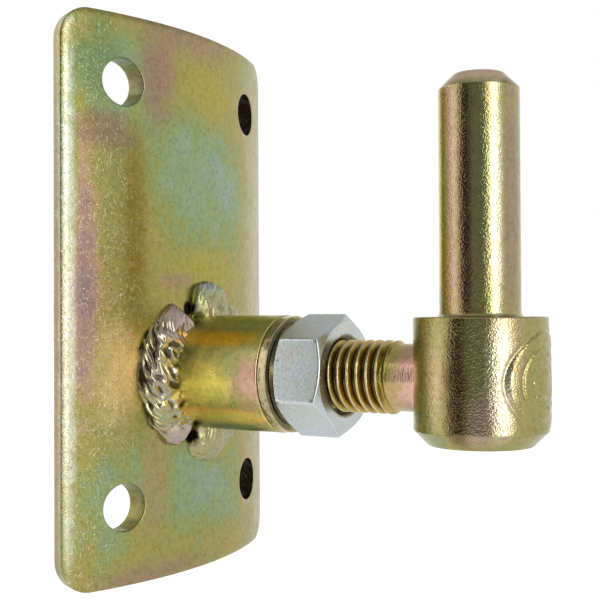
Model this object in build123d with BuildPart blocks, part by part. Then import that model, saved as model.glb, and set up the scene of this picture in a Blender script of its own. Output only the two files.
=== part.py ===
"""Adjustable hinge pintle: a post plate with a threaded boss, a lock nut and a screw-in hinge pin.

Frame, in millimetres: +X points out of the post along the stud, +Y runs across the plate and +Z is up
along the hinge pin. The origin lies on the back of the plate, on the axis of the stud.
"""
import os
from math import asin, degrees, radians, sqrt, tan

from build123d import *

# Post and plate
post_radius = 84.0
plate_thickness = 4.8
plate_width = 78.0
plate_height = 128.0
plate_corner = 7.0
plate_front_edge = 1.5
plate_back_edge = 0.6
plate_rise = 17.2
hole_diameter = 10.5
hole_rise = 18.3
hole_spacing_across = 48.0
hole_spacing_up = 95.0
hole_edge = 0.4

# Thread
thread_diameter = 16.0
thread_clearance = 0.05

# Boss welded to the plate
boss_diameter = 26.8
boss_length = 24.5
boss_edge = 0.4
boss_countersink = 1.2

# Weld: angles are about the stud, from +Y towards +Z
weld_ball = 4.9
weld_stand_off = 2.4
weld_sink = 1.0
weld_notch = 10.0
near_weld_middle = 180.0
near_weld_sweep = 94.0
near_weld_ripples = 9
far_weld_ripples = 9

# Lock washer
washer_diameter = 26.6
washer_thickness = 2.4
washer_play = 0.3
washer_split = 2.2
washer_split_slant = 25.0
washer_edge = 0.3

# Lock nut
nut_across_flats = 24.0
nut_height = 12.8
nut_corner_angle = 22.7
nut_chamfer_angle = 30.0
nut_face_diameter = 23.6
nut_face_height = 1.1
nut_countersink = 0.8

# Stud
thread_engagement = 17.3
thread_showing = 13.3
stud_tip = 1.6
shank_diameter = 14.5
shank_showing = 4.45
shank_blend = 0.6

# Hinge pin and its head
head_diameter = 27.7
head_top = 13.0
head_bottom = -13.4
head_chamfer = 3.1
head_edge = 0.5
socket_clearance = 0.05
socket_past_axis = 7.0
socket_end_play = 0.5
pin_diameter = 16.7
pin_length = 50.0
pin_chamfer = 3.1
pin_root = 0.9
pad_diameter = 20.6
pad_height = 0.5

# Two radii that differ by less than this are the same one
same_radius = 0.01

# Worked out from the sizes above
plate_front_radius = post_radius + plate_thickness
plate_angle = degrees(plate_width / (post_radius + plate_front_radius))
boss_radius = boss_diameter / 2
boss_end = plate_thickness + boss_length
weld_path_radius = boss_radius + weld_stand_off
weld_ball_angle = degrees(asin(weld_ball / weld_path_radius))
far_weld_middle = near_weld_middle - 180
far_weld_sweep = 360 - near_weld_sweep - 4 * weld_ball_angle - 2 * weld_notch
thread_radius = thread_diameter / 2
tapped_radius = thread_radius + thread_clearance
washer_end = boss_end + washer_thickness
nut_end = washer_end + nut_height
stud_start = boss_end - thread_engagement
stud_thread_end = nut_end + thread_showing
shank_radius = shank_diameter / 2
head_radius = head_diameter / 2
head_distance = stud_thread_end + shank_showing + head_radius
socket_end = head_distance + socket_past_axis
pin_radius = pin_diameter / 2
pin_top = head_top + pin_length


def rolled_face(plate, radius):
    """The front or back face of the rolled plate, told apart by its radius."""
    curved = plate.faces().filter_by(GeomType.CYLINDER)
    return curved.filter_by(lambda face: abs(face.radius - radius) < same_radius).sort_by(SortBy.AREA)[-1]


with BuildPart() as mounting_plate:
    # Section of a sheet rolled round the post, drawn seen from above
    with BuildSketch(Plane.XY.offset(plate_rise - plate_height / 2)):
        with BuildLine():
            back = CenterArc((-post_radius, 0), post_radius, -plate_angle, 2 * plate_angle)
            front = CenterArc((-post_radius, 0), plate_front_radius, -plate_angle, 2 * plate_angle)
            Line(back @ 0, front @ 0)
            Line(back @ 1, front @ 1)
        make_face()
    extrude(amount=plate_height)
    sheet_edges = mounting_plate.edges().filter_by(GeomType.LINE)
    fillet(sheet_edges.filter_by(Axis.Z, reverse=True), plate_corner)
    fillet(rolled_face(mounting_plate, plate_front_radius).outer_wire().edges(), plate_front_edge)
    fillet(rolled_face(mounting_plate, post_radius).outer_wire().edges(), plate_back_edge)
    with BuildSketch(Plane.YZ):
        with Locations((0, hole_rise)):
            with GridLocations(hole_spacing_across, hole_spacing_up, 2, 2):
                Circle(hole_diameter / 2)
    extrude(amount=plate_front_radius, both=True, mode=Mode.SUBTRACT)
    hole_rims = [wire.edges() for wire in rolled_face(mounting_plate, plate_front_radius).inner_wires()]
    fillet([edge for rim in hole_rims for edge in rim], hole_edge)
mounting_plate.part.label = "mounting_plate"


with BuildPart() as threaded_boss:
    with BuildSketch(Plane.YZ.offset(plate_thickness)):
        Circle(boss_radius)
        Circle(tapped_radius, mode=Mode.SUBTRACT)
    extrude(amount=boss_length)
    end_rims = threaded_boss.edges().filter_by(GeomType.CIRCLE).group_by(Axis.X)[-1].sort_by(SortBy.RADIUS)
    chamfer(end_rims[0], boss_countersink)
    fillet(end_rims[-1], boss_edge)
threaded_boss.part.label = "threaded_boss"


def weld_run(ripples, middle, sweep):
    """A run of weld, one ball for each ripple, laid in the corner between the boss and the plate."""
    with BuildPart() as run:
        with Locations(Plane.YZ.offset(plate_thickness - weld_sink)):
            with PolarLocations(weld_path_radius, ripples, middle - sweep / 2, sweep, endpoint=True):
                Sphere(weld_ball)
        with BuildSketch(Plane.YZ):
            Circle(boss_radius)
        extrude(amount=boss_end, mode=Mode.SUBTRACT)
        with BuildSketch(Plane.XY.offset(-plate_height)):
            with Locations((-post_radius, 0)):
                Circle(plate_front_radius)
        extrude(amount=2 * plate_height, mode=Mode.SUBTRACT)
    return run.part


near_weld = weld_run(near_weld_ripples, near_weld_middle, near_weld_sweep)
near_weld.label = "near_weld"
far_weld = weld_run(far_weld_ripples, far_weld_middle, far_weld_sweep)
far_weld.label = "far_weld"


with BuildPart() as lock_washer:
    with BuildSketch(Plane.YZ.offset(boss_end)):
        Circle(washer_diameter / 2)
        Circle(thread_radius + washer_play, mode=Mode.SUBTRACT)
    extrude(amount=washer_thickness)
    fillet(lock_washer.edges().filter_by(GeomType.CIRCLE).group_by(SortBy.RADIUS)[-1], washer_edge)
    # Slanted split on the far side
    with BuildSketch(Plane.XZ.offset(-washer_diameter)):
        with Locations((boss_end + washer_thickness / 2, 0)):
            SlotOverall(washer_diameter, washer_split, rotation=washer_split_slant)
    extrude(amount=washer_diameter, mode=Mode.SUBTRACT)
lock_washer.part.label = "lock_washer"


with BuildPart() as lock_nut:
    with BuildSketch(Plane.YZ.offset(washer_end + nut_face_height)):
        RegularPolygon(nut_across_flats / 2, 6, major_radius=False, rotation=nut_corner_angle)
    extrude(amount=nut_height - nut_face_height)
    # Both ends are turned to a cone, which leaves rounded tops on the flats
    nut_corner = nut_across_flats / sqrt(3)
    nut_slope = (nut_corner - nut_across_flats / 2) * tan(radians(nut_chamfer_angle))
    with BuildSketch(Plane.XY):
        with BuildLine():
            Polyline(
                (washer_end + nut_face_height, 0),
                (washer_end + nut_face_height, nut_across_flats / 2),
                (washer_end + nut_face_height + nut_slope, nut_corner),
                (nut_end - nut_slope, nut_corner),
                (nut_end, nut_across_flats / 2),
                (nut_end, 0),
                close=True,
            )
        make_face()
    revolve(axis=Axis.X, mode=Mode.INTERSECT)
    with BuildSketch(Plane.YZ.offset(washer_end)):
        Circle(nut_face_diameter / 2)
    extrude(amount=nut_face_height)
    with BuildSketch(Plane.YZ.offset(washer_end)):
        Circle(tapped_radius)
    extrude(amount=nut_height, mode=Mode.SUBTRACT)
    nut_circles = lock_nut.edges().filter_by(GeomType.CIRCLE)
    chamfer(nut_circles.filter_by(lambda edge: abs(edge.radius - tapped_radius) < same_radius), nut_countersink)
lock_nut.part.label = "lock_nut"


with BuildPart() as threaded_stud:
    with BuildSketch(Plane.XY):
        with BuildLine():
            Polyline(
                (stud_start, 0),
                (stud_start, thread_radius - stud_tip),
                (stud_start + stud_tip, thread_radius),
                (stud_thread_end, thread_radius),
                (stud_thread_end + shank_blend, shank_radius),
                (socket_end - socket_end_play, shank_radius),
                (socket_end - socket_end_play, 0),
                close=True,
            )
        make_face()
    revolve(axis=Axis.X)
threaded_stud.part.label = "threaded_stud"


with BuildPart() as pad:
    # Round pad opposite the stud, which follows the curve of the head
    with BuildSketch(Plane.YZ.offset(head_distance)):
        Circle(pad_diameter / 2)
    extrude(amount=head_diameter)
    with BuildSketch(Plane.XY.offset(head_bottom)):
        with Locations((head_distance, 0)):
            Circle(head_radius + pad_height)
    extrude(amount=head_top - head_bottom, mode=Mode.INTERSECT)


def top_rims(turned):
    """The round edges on top of the head, smallest first."""
    circles = turned.edges().filter_by(GeomType.CIRCLE)
    return circles.filter_by_position(Axis.Z, head_top, head_top).sort_by(SortBy.RADIUS)


with BuildPart() as hinge_pin:
    # Half section of the head and the pin, turned about the hinge axis
    with BuildSketch(Plane.XZ):
        with BuildLine():
            Polyline(
                (head_distance, head_bottom),
                (head_distance + head_radius - head_chamfer, head_bottom),
                (head_distance + head_radius, head_bottom + head_chamfer),
                (head_distance + head_radius, head_top),
                (head_distance + pin_radius, head_top),
                (head_distance + pin_radius, pin_top - pin_chamfer),
                (head_distance + pin_radius - pin_chamfer, pin_top),
                (head_distance, pin_top),
                close=True,
            )
        make_face()
    revolve(axis=Axis((head_distance, 0, 0), (0, 0, 1)))
    fillet(top_rims(hinge_pin)[0], pin_root)
    fillet(top_rims(hinge_pin)[-1], head_edge)
    add(pad.part)
    # Blind socket for the shank of the stud
    with BuildSketch(Plane.YZ.offset(head_distance - head_diameter)):
        Circle(shank_radius + socket_clearance)
    extrude(amount=head_diameter + socket_past_axis, mode=Mode.SUBTRACT)
hinge_pin.part.label = "hinge_pin"


os.makedirs("parts", exist_ok=True)
export_step(mounting_plate.part, "parts/mounting_plate.step")
export_step(threaded_boss.part, "parts/threaded_boss.step")
export_step(near_weld, "parts/near_weld.step")
export_step(far_weld, "parts/far_weld.step")
export_step(lock_washer.part, "parts/lock_washer.step")
export_step(lock_nut.part, "parts/lock_nut.step")
export_step(threaded_stud.part, "parts/threaded_stud.step")
export_step(hinge_pin.part, "parts/hinge_pin.step")
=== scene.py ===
"""Looks of the adjustable hinge pintle: its plating, thread, nut, head and weld, with a studio round it.

Sizes are in millimetres and angles in degrees. Angles about the stud run from +Y towards +Z. Directions in
the studio run from -Y towards +X, as the camera's own place does.
"""

import logging
import math
from dataclasses import dataclass, replace
from enum import Enum
from typing import Any, Sequence

import bmesh
import bpy
import numpy as np
from mathutils import Matrix, Vector, noise
from mathutils.geometry import delaunay_2d_cdt


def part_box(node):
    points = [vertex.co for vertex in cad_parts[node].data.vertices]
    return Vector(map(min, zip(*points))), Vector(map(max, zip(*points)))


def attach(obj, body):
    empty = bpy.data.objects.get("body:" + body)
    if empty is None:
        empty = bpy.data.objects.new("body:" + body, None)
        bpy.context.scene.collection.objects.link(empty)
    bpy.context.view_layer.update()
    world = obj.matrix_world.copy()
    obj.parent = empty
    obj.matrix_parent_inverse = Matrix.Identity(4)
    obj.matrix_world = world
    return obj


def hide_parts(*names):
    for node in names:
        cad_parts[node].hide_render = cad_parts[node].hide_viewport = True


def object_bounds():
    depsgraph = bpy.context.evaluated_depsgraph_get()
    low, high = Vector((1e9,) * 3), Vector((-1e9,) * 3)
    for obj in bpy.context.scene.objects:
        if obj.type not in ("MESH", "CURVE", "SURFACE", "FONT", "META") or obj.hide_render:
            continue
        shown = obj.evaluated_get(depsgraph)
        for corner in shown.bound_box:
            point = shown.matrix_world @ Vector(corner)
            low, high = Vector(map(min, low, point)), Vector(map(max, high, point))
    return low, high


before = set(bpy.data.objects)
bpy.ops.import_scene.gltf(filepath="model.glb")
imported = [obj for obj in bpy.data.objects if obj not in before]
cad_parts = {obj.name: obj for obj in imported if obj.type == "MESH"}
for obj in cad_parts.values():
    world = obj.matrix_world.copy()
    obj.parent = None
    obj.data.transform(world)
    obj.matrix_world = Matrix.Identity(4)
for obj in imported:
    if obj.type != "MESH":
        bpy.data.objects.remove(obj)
cad_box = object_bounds()

log = logging.getLogger("hinge_pintle")

MM = 0.001
FULL_TURN = 2 * math.pi
HAIR = 0.01  # lengths that differ by less count as one

Colour = tuple[float, float, float, float]
Socket = bpy.types.NodeSocket
Piece = bpy.types.Object
Place = tuple[float, float, float]

WHITE: Colour = (1.0, 1.0, 1.0, 1.0)


class Body(Enum):
    """The bodies that pieces ride on."""

    BASE = "base"
    WASHER = "washer"
    NUT = "nut"
    STUD = "stud"
    PINTLE = "pintle"


class Slot(Enum):
    """The record's material slots."""

    YELLOW = "yellow_zinc"
    WELD = "weld_zinc"
    CLEAR = "clear_zinc"


class Mark(Enum):
    """What a mesh tells its finish about the places on it."""

    NONE = ""
    # Painted shade on the washer's front face, in the gap under the nut.
    FACE_SHADE = "painted_face_shade"
    # Painted shade inside the plate's holes.
    HOLE_SHADE = "painted_hole_shade"
    # Painted shade in the thread's grooves and between the weld's strands.
    ROOT = "painted_groove_shade"
    # Pale crests and edges: wear with painted highlight.
    WORN_AND_HIGHLIT = "worn_and_highlit_edge"
    # Painted reflection on the nut, by its bore and on its collar.
    REFLECTION = "painted_reflection"


def screen_colour(red: int, green: int, blue: int) -> Colour:
    """Turns a colour as a screen writes it into the linear one that shaders use.

    Args:
        red: Red from 0 to 255.
        green: Green from 0 to 255.
        blue: Blue from 0 to 255.

    Returns:
        The linear colour with full alpha.
    """
    shares = [level / 255 for level in (red, green, blue)]
    linear = [s / 12.92 if s <= 0.04045 else ((s + 0.055) / 1.055) ** 2.4 for s in shares]
    return (*linear, 1.0)


def node_box(node: str) -> tuple[np.ndarray, np.ndarray]:
    """Gives the corners of a solid.

    Args:
        node: The solid's name in the frame.

    Returns:
        Its lowest and highest corners in millimetres.
    """
    low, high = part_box(node)
    return np.array(low) / MM, np.array(high) / MM


def eased(share: np.ndarray) -> np.ndarray:
    """Eases a share from 0 to 1, flat at both ends."""
    held = np.clip(share, 0, 1)
    return held * held * (3 - 2 * held)


def rumpled(places: np.ndarray, size: float, shift: float = 0.0) -> np.ndarray:
    """Gives smooth noise at places.

    Args:
        places: Points in millimetres.
        size: Length over which the noise changes.
        shift: Moves the noise, so that two pieces differ.

    Returns:
        Noise from about -1 to 1, one number for each point.
    """
    flat = places.reshape(-1, 3) / size + shift
    values = [noise.noise(Vector(place)) for place in flat.tolist()]
    return np.array(values).reshape(places.shape[:-1])


def add_object(name: str, data: bpy.types.ID) -> Piece:
    """Makes an object and links it to the scene.

    Args:
        name: The object's name.
        data: Its mesh, lamp or camera.

    Returns:
        The object, at the origin.
    """
    made = bpy.data.objects.new(name, data)
    bpy.context.scene.collection.objects.link(made)
    return made


class Nodes:
    """A node tree that is filled by short calls."""

    def __init__(self, tree: bpy.types.NodeTree) -> None:
        """Keeps the tree.

        Args:
            tree: A shader or geometry tree.
        """
        self.tree = tree

    def put(self, socket: Socket, value: Any) -> None:
        """Links a socket to another, or sets its value.

        Args:
            socket: The input that is fed.
            value: The socket that feeds it, or a plain value.
        """
        if isinstance(value, bpy.types.NodeSocket):
            self.tree.links.new(value, socket)
        else:
            socket.default_value = value

    def node(self, kind: str, inputs: dict[str | int, Any] | None = None, **settings: Any) -> bpy.types.Node:
        """Adds a node.

        Args:
            kind: Blender's name of the node type.
            inputs: A value or a socket for each input that is set.
            **settings: Properties of the node.

        Returns:
            The new node.
        """
        made = self.tree.nodes.new(kind)
        for key, value in settings.items():
            setattr(made, key, value)
        for key, value in (inputs or {}).items():
            self.put(made.inputs[key], value)
        return made

    def math(self, operation: str, *values: Any, clamp: bool = False) -> Socket:
        """Adds a Math node and gives its result."""
        inputs = dict(enumerate(values))
        return self.node("ShaderNodeMath", inputs, operation=operation, use_clamp=clamp).outputs[0]

    def vector(self, operation: str, *values: Any, output: int = 0) -> Socket:
        """Adds a Vector Math node and gives one of its results."""
        return self.node("ShaderNodeVectorMath", dict(enumerate(values)), operation=operation).outputs[output]

    def split(self, vector: Socket) -> Sequence[Socket]:
        """Gives the X, Y and Z of a vector."""
        return self.node("ShaderNodeSeparateXYZ", {0: vector}).outputs

    def join(self, x: Any, y: Any, z: Any) -> Socket:
        """Makes a vector of three numbers."""
        return self.node("ShaderNodeCombineXYZ", {0: x, 1: y, 2: z}).outputs[0]

    def spread(self, value: Any, low: Any, high: Any, to_low: Any = 0.0, to_high: Any = 1.0,
               steps: str = "SMOOTHSTEP") -> Socket:
        """Maps a range of values to another, held at both ends."""
        inputs = {"Value": value, "From Min": low, "From Max": high, "To Min": to_low, "To Max": to_high}
        return self.node("ShaderNodeMapRange", inputs, interpolation_type=steps).outputs[0]


def bare_tree(holder: bpy.types.Material | bpy.types.World) -> Nodes:
    """Empties the tree of a material or a world.

    Args:
        holder: The material or the world.

    Returns:
        Its tree, ready to be filled.
    """
    holder.use_nodes = True
    holder.node_tree.nodes.clear()
    return Nodes(holder.node_tree)


@dataclass(frozen=True)
class Spot:
    """A soft spot on a piece: strongest at its centre and gone at its reach along each axis."""

    centre: Place
    reach: Place
    amount: float


@dataclass(frozen=True)
class Tint:
    """A soft spot of another colour."""

    centre: Place
    reach: Place
    colour: Colour
    amount: float = 1.0


class Surface(Nodes):
    """A material's tree, with the patterns that plated steel needs."""

    spot_wander = 0.5
    spot_core = 0.15
    tint_wander = 0.45
    tint_core = 0.25

    def __init__(self, name: str) -> None:
        """Makes the material.

        Args:
            name: The material's name.
        """
        self.material = bpy.data.materials.new(name)
        self.material.use_nodes = True
        super().__init__(self.material.node_tree)
        self.shader = self.tree.nodes["Principled BSDF"]
        self.shader.inputs["Metallic"].default_value = 1.0
        self.place = self.node("ShaderNodeTexCoord").outputs["Object"]

    def stretched(self, size: Place, centre: Place = (0.0, 0.0, 0.0)) -> Socket:
        """Gives the place on the piece, measured in lengths of a pattern.

        Args:
            size: Length of the pattern along each axis.
            centre: Where the pattern is centred.

        Returns:
            The place as a vector socket.
        """
        moved = self.vector("SUBTRACT", self.place, [c * MM for c in centre])
        return self.vector("MULTIPLY", moved, [1 / (length * MM) for length in size])

    def cloud(self, size: Place, detail: float = 2.0, rough: float = 0.5, warp: float = 0.0,
              seed: float = 0.0) -> Socket:
        """Gives soft noise from 0 to 1.

        Args:
            size: Length of a patch along each axis.
            detail: Octaves of finer noise.
            rough: Strength of the finer noise.
            warp: How much the patches are pulled about.
            seed: Moves the pattern, so that two finishes differ.

        Returns:
            The noise.
        """
        place = self.stretched(size, centre=(seed, seed, seed))
        inputs = {"Vector": place, "Scale": 1.0, "Detail": detail, "Roughness": rough, "Distortion": warp}
        return self.node("ShaderNodeTexNoise", inputs).outputs[0]

    def marked(self, mark: Mark) -> Socket:
        """Gives what the mesh says of a place."""
        return self.node("ShaderNodeAttribute", attribute_name=mark.value).outputs["Fac"]

    def around(self, value: Any, drift: Socket, amount: float) -> Socket:
        """Lets a value drift both ways with a noise."""
        return self.math("MULTIPLY_ADD", self.math("SUBTRACT", drift, 0.5), 2 * amount, value)

    def with_spots(self, value: Any, spots: Sequence[Spot], drift: Socket | None = None) -> Socket:
        """Adds soft spots to a value, with edges that wander where a noise is given.

        Args:
            value: The value away from the spots.
            spots: The spots.
            drift: The noise that pulls their edges about.

        Returns:
            The value with its spots.
        """
        for spot in spots:
            away = self.vector("LENGTH", self.stretched(spot.reach, spot.centre), output=1)
            if drift is not None:
                away = self.around(away, drift, self.spot_wander)
            value = self.math("MULTIPLY_ADD", self.spread(away, 1.0, self.spot_core), spot.amount, value)
        return value

    def with_tints(self, colour: Socket, drift: Socket, tints: Sequence[Tint]) -> Socket:
        """Lays soft spots of other colours over a colour, with uneven edges.

        Args:
            colour: The colour away from the spots.
            drift: The noise that pulls their edges about.
            tints: The spots.

        Returns:
            The colour with its spots.
        """
        for tint in tints:
            away = self.vector("LENGTH", self.stretched(tint.reach, tint.centre), output=1)
            wandering = self.around(away, drift, self.tint_wander)
            share = self.spread(wandering, 1.0, self.tint_core, 0.0, tint.amount)
            colour = self.blend(share, colour, tint.colour)
        return colour

    def ramp(self, value: Socket, stops: Sequence[tuple[float, Colour]]) -> Socket:
        """Turns a value into a colour by stops.

        Args:
            value: A value from 0 to 1.
            stops: A position and a colour for each stop, in order.

        Returns:
            The colour.
        """
        made = self.node("ShaderNodeValToRGB", {0: value})
        elements = made.color_ramp.elements
        while len(elements) < len(stops):
            elements.new(1.0)
        for element, (position, colour) in zip(elements, stops):
            element.position = position
            element.color = colour
        return made.outputs[0]

    def blend(self, share: Any, below: Any, above: Any, kind: str = "MIX") -> Socket:
        """Mixes two colours."""
        inputs = {0: share, 6: below, 7: above}
        return self.node("ShaderNodeMix", inputs, data_type="RGBA", blend_type=kind).outputs[2]

    def scratches(self, cell: float, width: float, length: float, bow: float, seed: float) -> Socket:
        """Scatters short bowed scratches, one in each cell, each turned its own way.

        Args:
            cell: Size of a cell.
            width: Width of a scratch.
            length: Length of a scratch.
            bow: How far its ends bend away.
            seed: Moves the pattern, so that two layers differ.

        Returns:
            1 on a scratch and 0 beside it.
        """
        place = self.stretched((cell, cell, cell), centre=(seed, seed, seed))
        cells = self.node("ShaderNodeTexVoronoi", {"Vector": place, "Scale": 1.0}).outputs
        away = self.vector("SUBTRACT", place, cells["Position"])
        turned = self.math("MULTIPLY", self.split(cells["Color"])[0], FULL_TURN)
        side, up = self.math("COSINE", turned), self.math("SINE", turned)
        run = self.vector("DOT_PRODUCT", away, self.join(up, side, up), output=1)
        down = self.math("MULTIPLY", up, -1.0)
        across = self.vector("DOT_PRODUCT", away, self.join(side, down, side), output=1)
        bent = self.math("MULTIPLY_ADD", self.math("MULTIPLY", run, run), bow * cell / length, across)
        line = self.spread(self.math("ABSOLUTE", bent), width / cell, 0.25 * width / cell)
        reach = self.spread(self.math("ABSOLUTE", run), 0.6 * length / cell, 0.2 * length / cell)
        level = self.spread(self.split(cells["Color"])[1], 0.25, 0.95)
        return self.math("MULTIPLY", level, self.math("MULTIPLY", line, reach))

    def emboss(self, height: Socket, depth: float, strength: Any = 1.0,
               below: Socket | None = None) -> Socket:
        """Gives the normal of a bumped surface.

        Args:
            height: The bump pattern, from 0 to 1.
            depth: How deep the pattern is.
            strength: How much of the bump counts.
            below: The normal of a coarser bump under this one.

        Returns:
            The new normal.
        """
        inputs = {"Height": height, "Distance": depth * MM, "Strength": strength}
        if below is not None:
            inputs["Normal"] = below
        return self.node("ShaderNodeBump", inputs).outputs[0]


FILM_COLOURS: tuple[tuple[float, Colour], ...] = (
    (0.00, screen_colour(152, 160, 158)),
    (0.14, screen_colour(150, 168, 142)),
    (0.28, screen_colour(146, 166, 116)),
    (0.42, screen_colour(156, 160, 94)),
    (0.54, screen_colour(170, 158, 88)),
    (0.66, screen_colour(182, 158, 112)),
    (0.80, screen_colour(180, 148, 126)),
    (0.92, screen_colour(164, 134, 126)),
    (1.00, screen_colour(148, 128, 126)),
)
CLEAR_COLOURS: tuple[tuple[float, Colour], ...] = (
    (0.32, screen_colour(200, 198, 190)),
    (0.50, screen_colour(200, 208, 204)),
    (0.68, screen_colour(198, 208, 214)),
)
# Painted shade: the near-black laid into recesses and gaps where shade falls.
PAINTED_SHADE = screen_colour(26, 18, 8)
STAIN = screen_colour(120, 98, 62)
# Pale bare zinc: real in the scratches, a painted highlight on the thread's crests.
BARE_ZINC_AND_HIGHLIGHT = screen_colour(236, 228, 204)
SPECK = screen_colour(140, 142, 136)
# Pale edges of the nut: worn zinc with painted highlight.
RUBBED_AND_HIGHLIT_EDGE = screen_colour(226, 230, 230)
# Painted reflection: the brown that the thread and the yellow washer would mirror in the nut.
REFLECTED_BROWN = screen_colour(128, 112, 70)
# Painted shade in the pits where the weld's runs end, on the plate, the boss and the weld alike.
WELD_PIT_SHADE = (
    Spot((6.0, -5.4, 15.0), (5.0, 2.6, 3.4), 1.0),
    Spot((6.0, -5.2, -15.0), (5.0, 2.6, 3.4), 1.0),
)


@dataclass(frozen=True)
class YellowZinc:
    """Yellow chromate over zinc: a thin film whose thickness drifts, so that its colour does."""

    name: str
    film: float = 0.5
    drift: float = 0.22
    patch: Place = (14.0, 12.0, 18.0)
    middling_patch: Place = (6.0, 6.0, 6.0)
    fine_patch: Place = (2.4, 2.4, 2.4)
    stain_patch: Place = (1.1, 1.1, 1.1)
    worn_patch: Place = (3.0, 3.0, 3.0)
    tumbled_patch: Place = (5.0, 5.0, 5.0)
    film_spots: tuple[Spot, ...] = ()
    dark_spots: tuple[Spot, ...] = ()
    tints: tuple[Tint, ...] = ()
    scratch_spots: tuple[Spot, ...] = ()
    dark_mark: Mark = Mark.NONE
    darkness: float = 0.9
    pale_mark: Mark = Mark.NONE
    paleness: float = 0.8
    scratched: float = 0.12
    scratch_layers: tuple[tuple[float, float], ...] = ((1.3, 0.0), (0.8, 40.0), (2.0, 80.0))
    scratch_depth: float = 0.05
    scratch_paleness: float = 0.55
    grain: Place = (0.7, 0.7, 0.7)
    grain_depth: float = 0.03
    calm_grain: float = 1.0
    facet_size: float = 0.5
    facet_depth: float = 0.0
    stain: float = 0.3
    roughness: float = 0.24
    saturation: float = 1.0
    brightness: float = 1.0
    seed: float = 0.0

    def colour(self, surface: Surface) -> Socket:
        """Gives the film's colour with its stains, its painted shade and its pale marks of wear with painted
        highlight.

        Args:
            surface: The material's tree.

        Returns:
            The colour.
        """
        broad = surface.cloud(self.patch, detail=3.0, rough=0.55, warp=0.8, seed=self.seed)
        middling = surface.cloud(self.middling_patch, detail=3.0, rough=0.55, warp=0.6, seed=self.seed + 60.0)
        film = surface.with_spots(surface.around(self.film, broad, self.drift), self.film_spots, middling)
        fine = surface.cloud(self.fine_patch, detail=3.0, rough=0.6, warp=0.5, seed=self.seed)
        colour = surface.ramp(surface.around(film, fine, 0.1), FILM_COLOURS)
        colour = surface.with_tints(colour, middling, self.tints)
        specks = surface.cloud(self.stain_patch, detail=4.0, rough=0.7, seed=self.seed + 5.0)
        stained = surface.spread(specks, 0.42, 0.72, 0.0, self.stain)
        colour = surface.blend(stained, colour, STAIN, "MULTIPLY")
        # Painted shade in the pits at the ends of the weld's runs.
        if self.dark_spots:
            edge = surface.around(surface.with_spots(0.0, self.dark_spots), fine, 0.25)
            colour = surface.blend(surface.spread(edge, 0.25, 0.7), colour, PAINTED_SHADE)
        # Painted shade in a mesh's recesses: holes, grooves and the gap under the nut.
        if self.dark_mark is not Mark.NONE:
            edge = surface.around(surface.marked(self.dark_mark), fine, 0.2)
            colour = surface.blend(surface.spread(edge, 0.2, 0.8, 0.0, self.darkness), colour, PAINTED_SHADE)
        # Pale marks: worn zinc with painted highlight, on the thread's crests.
        if self.pale_mark is not Mark.NONE:
            edge = surface.around(surface.marked(self.pale_mark), fine, 0.15)
            colour = surface.blend(surface.spread(edge, 0.8, 1.0, 0.0, self.paleness), colour, BARE_ZINC_AND_HIGHLIGHT)
        vivid = {"Saturation": self.saturation, "Value": self.brightness, "Color": colour}
        return surface.node("ShaderNodeHueSaturation", vivid).outputs[0]

    def scratch_marks(self, surface: Surface, tumbled: Any) -> Socket:
        """Gives where the piece was scratched in the plating drum, from 0 to 1.

        Args:
            surface: The material's tree.
            tumbled: How much the drum scratched each place.

        Returns:
            The strength of the scratches.
        """
        patchy = surface.spread(surface.cloud(self.tumbled_patch), 0.3, 0.6, 0.5, 1.0)
        marks: Any = 0.0
        for cell, seed in self.scratch_layers:
            own = surface.scratches(cell, width=0.13, length=0.95 * cell, bow=0.15, seed=seed)
            marks = surface.math("MAXIMUM", marks, own)
        return surface.math("MULTIPLY", marks, surface.math("MULTIPLY", tumbled, patchy, clamp=True))

    def relief(self, surface: Surface, marks: Socket, tumbled: Any) -> Socket:
        """Gives the normal of the grain, weaker away from the tumbled places, with the scratches over it.

        Args:
            surface: The material's tree.
            marks: The strength of the scratches.
            tumbled: How much the drum scratched each place.

        Returns:
            The normal.
        """
        grain = surface.cloud(self.grain, detail=3.0, rough=0.65, seed=self.seed)
        level: Any = 1.0
        if self.calm_grain < 1.0:
            level = surface.spread(tumbled, 0.1, 1.2, self.calm_grain, 1.0)
        below = surface.emboss(grain, self.grain_depth, level)
        if self.facet_depth > 0:
            place = surface.stretched((self.facet_size, self.facet_size, self.facet_size))
            facets = surface.node("ShaderNodeTexVoronoi", {"Vector": place, "Scale": 1.0}).outputs["Distance"]
            below = surface.emboss(facets, self.facet_depth, 1.0, below)
        return surface.emboss(marks, self.scratch_depth, 1.0, below)

    def material(self) -> bpy.types.Material:
        """Builds the material.

        Returns:
            The yellow material.
        """
        surface = Surface(self.name)
        inputs = surface.shader.inputs
        tumbled = surface.with_spots(self.scratched, self.scratch_spots)
        marks = self.scratch_marks(surface, tumbled)
        pale = surface.math("MULTIPLY", marks, self.scratch_paleness)
        surface.put(inputs["Base Color"], surface.blend(pale, self.colour(surface), BARE_ZINC_AND_HIGHLIGHT))
        worn = surface.cloud(self.worn_patch, detail=3.0, seed=self.seed)
        surface.put(inputs["Roughness"],
                    surface.spread(worn, 0.3, 0.7, self.roughness - 0.05, self.roughness + 0.07))
        surface.put(inputs["Normal"], self.relief(surface, marks, tumbled))
        return surface.material


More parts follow.
